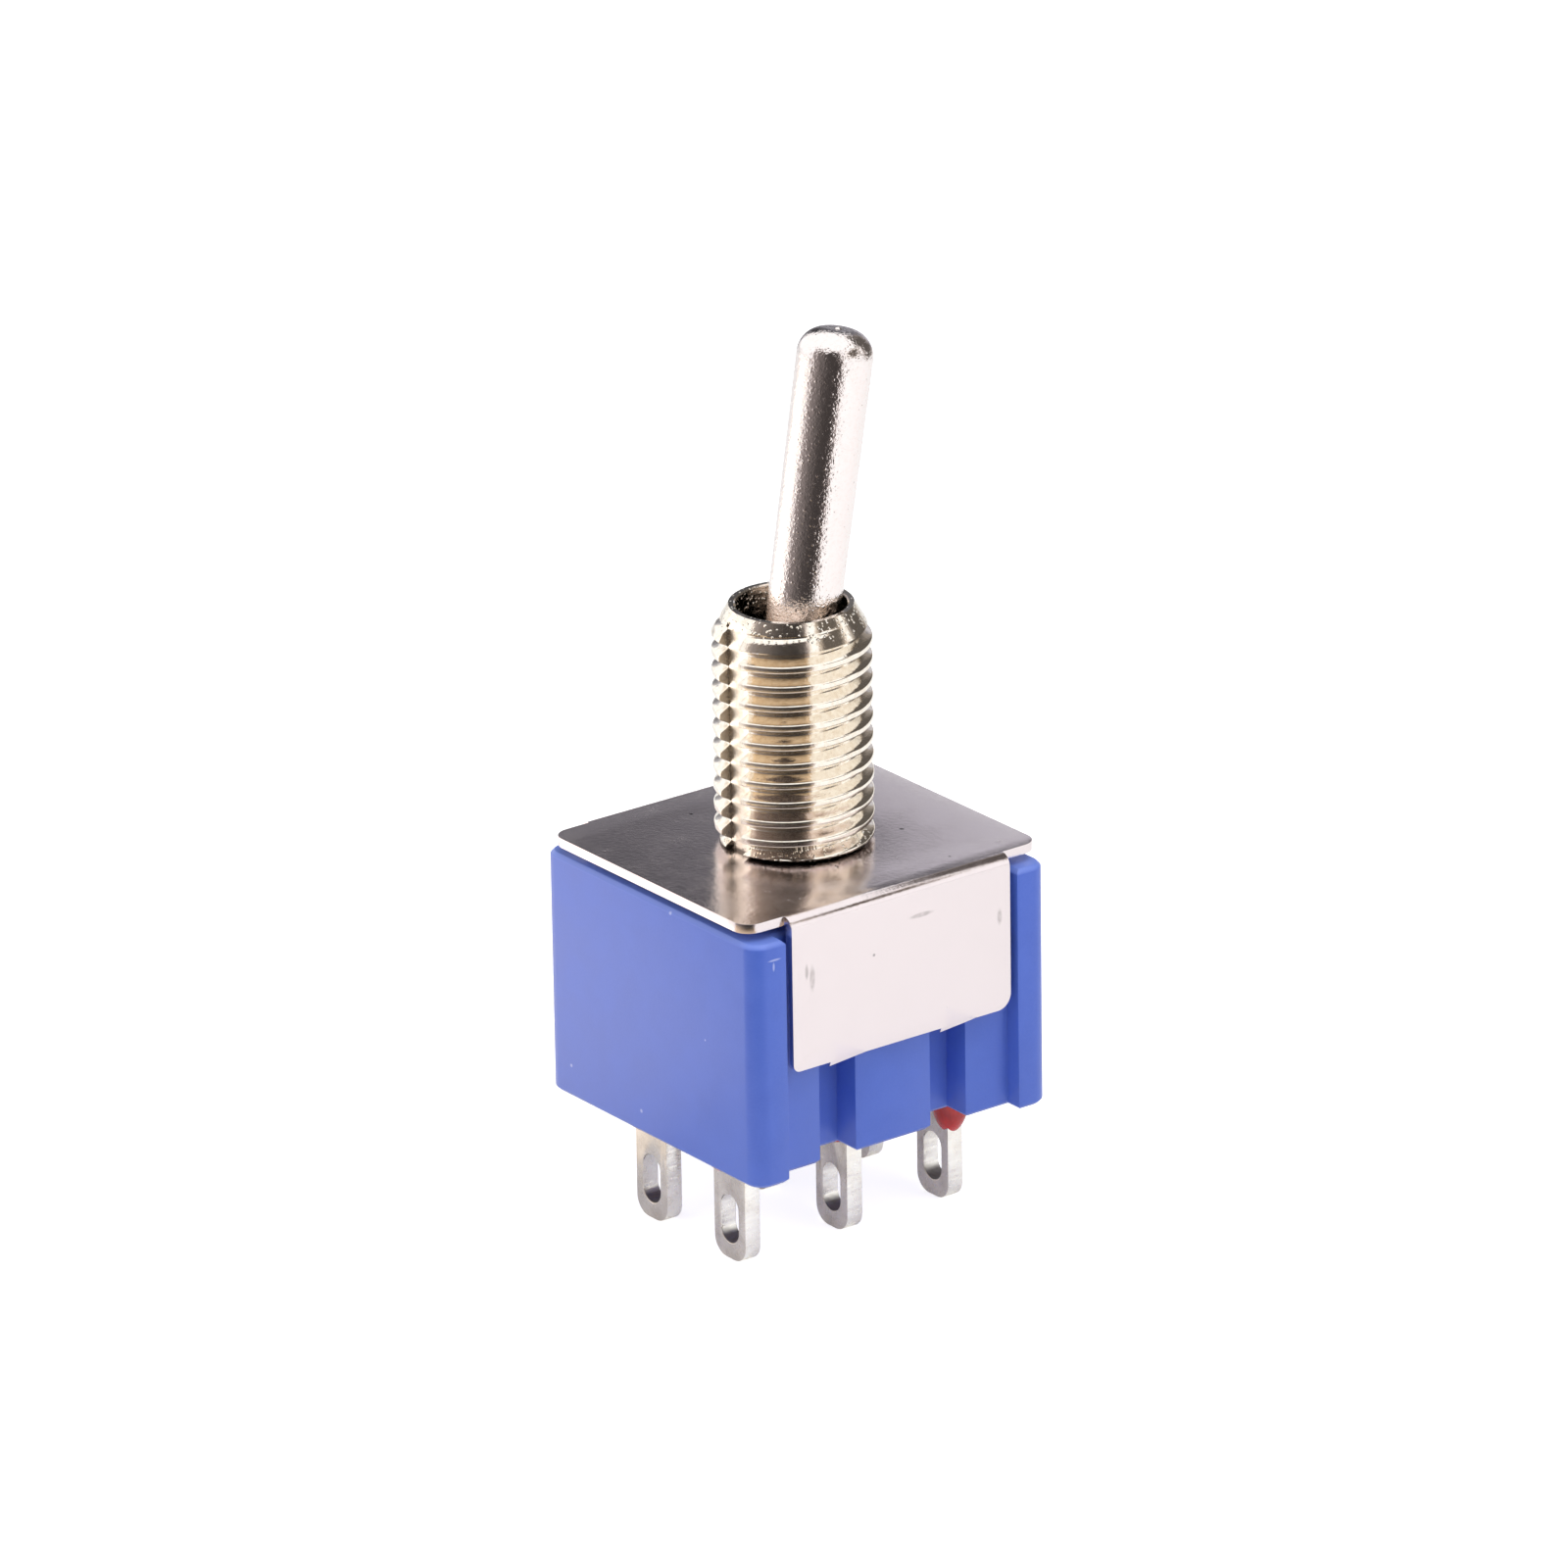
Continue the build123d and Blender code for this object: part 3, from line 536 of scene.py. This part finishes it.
def small_metal(name, colour, shade, rough, size):
    """Small formed metal part: bright, with a little tarnish and drawn streaks. size is the tarnish's
    in millimetres, and the streaks are a third of it, because drawing marks are too fine to show."""
    made, tree, shader, place = start(name, colour, rough, 1.0)
    tarnish = node(tree, "ShaderNodeTexNoise", {"Vector": place, "Scale": per_mm(size), "Detail": 3})
    tarnish = node(tree, "ShaderNodeMapRange", {"Value": tarnish, "From Min": 0.4, "From Max": 0.75})
    tree.links.new(node(tree, "ShaderNodeMix", {0: tarnish, 6: linear(colour), 7: linear(shade)}, 2, data_type="RGBA"),
                   shader["Base Color"])
    drawn = node(tree, "ShaderNodeMapping", {"Vector": place, "Scale": (0.3, 1.0, 1.0)})
    streaks = node(tree, "ShaderNodeTexNoise", {"Vector": drawn, "Scale": per_mm(size / 3), "Detail": 2})
    tree.links.new(node(tree, "ShaderNodeBump", {"Height": streaks, "Distance": 0.002 * MM, "Strength": 0.5}),
                   shader["Normal"])
    return made


# ---- Pieces

def dressed(piece, body, slot, *nodes, materials=()):
    """Gives a piece its materials, lets it ride on its body and stand for its solids."""
    for finish in materials:
        piece.data.materials.append(finish)
    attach(piece, body)
    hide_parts(*nodes)


blue = blue_moulding()
sheet = plated_sheet()
lug_metal = lug_strip()
epoxy = sealing_epoxy()

# The lever is turned smooth and lightly torn all along. The thread is bright, with burrs at its two
# ends, a milled keyway and painted shade at its foot. The bore is left rough from the drill and looks brown
lever_nickel = turned_metal("nickel_satin_on_turned_lever", "#f4ecea", "#f1e8e5", (0, -LEVER_TILT, 0),
                            0.16, 0.006, 0.1, 0.15, 0.008, torn=[(15, 22)], tear=0.009)
bushing_nickel = turned_metal("nickel_on_cut_thread", "#f6efe4", "#efe4d4", (0, 0, 0), 0.12, 0.004, 0.1, 0.2, 0.0015,
                              torn=[(8.85, 0.5), (0.3, 0.5)], milled=[((-2.9, 0, 4.5), (0.95, 0.95, 12))],
                              shaded_places=[((0, 0, 0), (ALL_ROUND, ALL_ROUND, 0.2))])
bore_nickel = turned_metal("nickel_dull_in_bore", "#a8875f", "#7a5e40", (0, 0, 0), 0.14, 0.006, 0.35, 0.1, 0.008)

dressed(softened("housing", "housing_moulding", 0.06), "base", "housing_blue", "housing", materials=[blue])
dressed(softened("frame_plate", "frame_plate_sheet", 0.045, keep=hole_rim), "base", "plate_steel",
        "frame_plate", materials=[sheet])
dressed(bushing_form(), "base", "bushing_nickel", "bushing", materials=[bushing_nickel, sheet, bore_nickel])
dressed(lever_form(), "lever_arm", "lever_nickel", "lever", materials=[lever_nickel])

for side, row in (("front", -POLE_PITCH / 2), ("rear", POLE_PITCH / 2)):
    for column, place in (("left", -LUG_PITCH), ("middle", 0), ("right", LUG_PITCH)):
        source = f"common_terminal_{side}" if column == "middle" else f"end_terminal_{column}_{side}"
        dressed(softened(source, f"lug_{column}_{side}", 0.05), "base", "lug_metal", source, materials=[lug_metal])
        seal = f"terminal_seal_{column}_{side}"
        run = column == "right" and side == "front"
        dressed(seal_form(f"seal_bead_{column}_{side}", place, row, run), "base", "seal_epoxy", seal, materials=[epoxy])

# Hidden pieces keep their solids' meshes
inner = [
    (plain_moulding("acetal_black_moulded", "#2b2b2e", "#3a3a3e", 0.45), ["carrier"]),
    (plain_moulding("nylon_natural_moulded", "#e6e0d0", "#d8d0bc", 0.4), ["plunger_front", "plunger_rear"]),
    (small_metal("spring_steel_drawn_wire", "#b9b6b0", "#8f8b85", 0.25, 0.2), ["spring_front", "spring_rear"]),
    (small_metal("silver_on_bronze_contact", "#e8dcc6", "#c2ab86", 0.25, 0.5), ["rocker_front", "rocker_rear"]),
]
for finish, parts in inner:
    for part in parts:
        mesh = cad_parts[part].data
        mesh.materials.clear()
        mesh.materials.append(finish)


# ---- Stage, light and camera

# Glow of the floor as seen and as mirrored, and level of the sky as it lights the object and as it is
# seen or mirrored
FLOOR_GLOW = 0.75
MIRRORED_GLOW = 0.28
SKY_LEVEL = 0.32
SKY_SEEN = 1.2

FLOOR_REACH = 900.0
CARD_LEVEL = FLOOR_LEVEL + 0.2
LOW_CARD_LEVEL = CARD_LEVEL + 0.3

# The photograph's camera, fitted to the corners of the body, plate, bushing and lugs: degrees, then
# millimetres, the last two being how far it is moved across and up from facing the origin
CAMERA_AZIMUTH = -36.8161
CAMERA_ELEVATION = 21.3188
CAMERA_ROLL = math.radians(0.8946)
SENSOR_WIDTH = 36
LENS_LENGTH = 273.24
CAMERA_DISTANCE = 436.2
CAMERA_LEFT = 0.3915
CAMERA_RAISED = 1.9397


def white_floor():
    """Pale sheet. Where it is seen or reflected it glows a little as well, so that it comes out white
    and still takes the object's shadow."""
    made = bpy.data.materials.new("paper_white_sweep")
    made.use_nodes = True
    tree = made.node_tree
    tree.nodes.clear()
    paper = node(tree, "ShaderNodeBsdfDiffuse", {"Color": linear("#f0f0f0")})
    seen = 0.0
    for ray, share in (("Is Camera Ray", FLOOR_GLOW), ("Is Glossy Ray", MIRRORED_GLOW),
                       ("Is Transmission Ray", MIRRORED_GLOW)):
        glow = node(tree, "ShaderNodeMath", {0: node(tree, "ShaderNodeLightPath", out=ray), 1: share},
                    operation="MULTIPLY")
        seen = node(tree, "ShaderNodeMath", {0: seen, 1: glow}, operation="MAXIMUM")
    both = node(tree, "ShaderNodeAddShader", {0: paper, 1: node(tree, "ShaderNodeEmission", {"Strength": seen})})
    node(tree, "ShaderNodeOutputMaterial", {"Surface": both})
    return made


def studio_card(name, colour, grid, shade):
    """Curved studio card, seen by reflections alone. grid holds its points in millimetres and shade
    its brightness at each, which is kept on the mesh as an attribute."""
    mesh = grid_mesh(name, grid)
    mesh.attributes.new("tone", "FLOAT", "POINT").data.foreach_set("value", shade.ravel().astype(np.float32))
    made = bpy.data.materials.new(name)
    made.use_nodes = True
    tree = made.node_tree
    tree.nodes.clear()
    level = node(tree, "ShaderNodeAttribute", out="Fac", attribute_name="tone")
    glow = node(tree, "ShaderNodeEmission", {"Color": linear(colour), "Strength": level})
    node(tree, "ShaderNodeOutputMaterial", {"Surface": glow})
    mesh.materials.append(made)
    card = placed(name, mesh)
    card.visible_camera = card.visible_diffuse = card.visible_shadow = card.visible_transmission = False


def curved(name, colour, distances, heights, lifts, gains, knots, shades):
    """Card on arcs about the bushing's axis, one arc for each distance and height. Azimuths are in
    degrees, 0 in front and growing towards +X. Brightness follows shades at the azimuths of knots, and
    each arc blends that with its own lift and gain: lift + (gain - lift) * shade."""
    azimuth = np.linspace(knots[0], knots[-1], 120)[None, :]
    distance, height, lift, gain = (np.array(row, dtype=float)[:, None] for row in (distances, heights, lifts, gains))
    turn = np.radians(azimuth)
    grid = np.stack([distance * np.sin(turn), -distance * np.cos(turn), height + 0 * turn], axis=-1)
    studio_card(name, colour, grid, lift + (gain - lift) * np.interp(azimuth, knots, shades))


floor_corners = [(-1, -1), (1, -1), (1, 1), (-1, 1)]
floor_mesh = bpy.data.meshes.new("studio_floor")
floor_mesh.from_pydata([Vector((x * FLOOR_REACH, y * FLOOR_REACH, FLOOR_LEVEL)) * MM for x, y in floor_corners],
                       [], [(0, 1, 2, 3)])
floor_mesh.materials.append(white_floor())
placed("studio_floor", floor_mesh)

# Dark cards on the camera's side, the lower one warm and rising from the floor, shade the metal's front
front_knots = [-110, -105, -100, -80, -60, -48, -30, -16, -8]
curved("studio_card_front_low", "#ffe6c8", [17, 22, 30, 40, 42, 42], [CARD_LEVEL] * 4 + [-13, -9],
       [0.95, 0.75, 0.4, 0.1, 0, 0], [1, 1, 1, 1, 0.7, 1],
       front_knots, [1.2, 1.0, 0.8, 0.5, 0.2, 0.1, 0.07, 0.12, 0.9])
curved("studio_card_front", "#f4e6e2", [42] * 5, [-8.9, -2, 30, 52, 57], [0, 0, 0, 0, 0.9], [1] * 5,
       front_knots, [1.0, 0.6, 0.34, 0.2, 0.1, 0.07, 0.055, 0.12, 0.9])
# The plate's top mirrors the card opposite the camera, bright at its foot and greyer to one side
curved("studio_card_back", "#f6f5ff", [60] * 8, [4, 19, 21.5, 24, 27, 40, 56, 60], [0] * 8,
       [1.1, 1.2, 1.05, 0.85, 0.4, 0.3, 0.3, 1.5],
       [118, 130, 137, 141, 146, 151, 158, 162, 166], [0.62, 0.54, 0.48, 0.44, 0.24, 0.19, 0.19, 0.28, 0.6])
# A dark card at the right puts an edge into the round metal
curved("studio_card_right", "#fff3ea", [60] * 5, [6, 12, 40, 84, 90], [0.5, 0, 0, 0, 0.5], [1] * 5,
       [64, 72, 110, 118], [0.7, 0.12, 0.12, 0.4])
# Bright cards at the back left, one standing and one along the floor, light the metal's left side
curved("studio_card_left", "#fff6ec", [30] * 3, [CARD_LEVEL, 6, 16], [0] * 3, [1, 1, 0.6],
       [196, 200, 230, 242], [1.3, 2.4, 2.4, 1.3])
curved("studio_card_low", "#fff6ec", [9, 14, 22, 29.5], [LOW_CARD_LEVEL] * 4, [0] * 4, [0.55, 0.75, 1, 1],
       [196, 200, 240, 248], [1.0, 2.1, 2.1, 1.0])
# A dark card over the front right corner puts a second edge into it
curved("studio_card_corner", "#fff0e2", [60] * 4, [30, 36, 58, 66], [0.9, 0, 0, 0.9], [1] * 4,
       [6, 16, 48, 56], [0.9, 0.14, 0.14, 0.8])

world = bpy.data.worlds.new("soft_white_tent")
bpy.context.scene.world = world
world.use_nodes = True
tree = world.node_tree
tree.nodes.clear()
seen = node(tree, "ShaderNodeLightPath", out="Is Camera Ray")
for ray in ("Is Glossy Ray", "Is Transmission Ray"):
    seen = node(tree, "ShaderNodeMath", {0: seen, 1: node(tree, "ShaderNodeLightPath", out=ray)}, operation="MAXIMUM")
level = node(tree, "ShaderNodeMapRange", {"Value": seen, "To Min": SKY_LEVEL, "To Max": SKY_SEEN})
sky = node(tree, "ShaderNodeBackground", {"Color": linear("#ffffff"), "Strength": level})
node(tree, "ShaderNodeOutputWorld", {"Surface": sky})


def toward(azimuth, elevation):
    """Unit vector from the object at an azimuth and an elevation in degrees."""
    turn, rise = math.radians(azimuth), math.radians(elevation)
    return Vector((math.sin(turn) * math.cos(rise), -math.cos(turn) * math.cos(rise), math.sin(rise)))


def softbox(name, azimuth, elevation, distance, size, watts):
    """Square lamp at an azimuth and elevation about the object, aimed at its middle."""
    lamp = bpy.data.lights.new(name, "AREA")
    lamp.size = size * MM
    lamp.energy = watts
    back = toward(azimuth, elevation)
    made = placed(name, lamp)
    made.matrix_world = Matrix.Translation(back * distance * MM) @ back.to_track_quat("Z", "Y").to_matrix().to_4x4()
    made.visible_camera = made.visible_glossy = False


softbox("lamp_left", -95, 30, 300, 260, 0.34)
softbox("lamp_top", 20, 75, 320, 260, 0.5)
softbox("lamp_right", 22, 30, 320, 240, 0.27)

back = toward(CAMERA_AZIMUTH, CAMERA_ELEVATION)
level_right = Vector((math.cos(math.radians(CAMERA_AZIMUTH)), math.sin(math.radians(CAMERA_AZIMUTH)), 0))
level_up = back.cross(level_right)
right = level_right * math.cos(CAMERA_ROLL) - level_up * math.sin(CAMERA_ROLL)
up = level_right * math.sin(CAMERA_ROLL) + level_up * math.cos(CAMERA_ROLL)
camera_data = bpy.data.cameras.new("camera")
camera_data.sensor_width = SENSOR_WIDTH
camera_data.lens = LENS_LENGTH
camera_data.clip_start, camera_data.clip_end = 0.01, 10
camera = placed("camera", camera_data)
spot = back * CAMERA_DISTANCE - right * CAMERA_LEFT + up * CAMERA_RAISED
camera.matrix_world = Matrix.Translation(spot * MM) @ Matrix((right, up, back)).transposed().to_4x4()
bpy.context.scene.camera = camera
bpy.context.scene.view_settings.view_transform = "Standard"
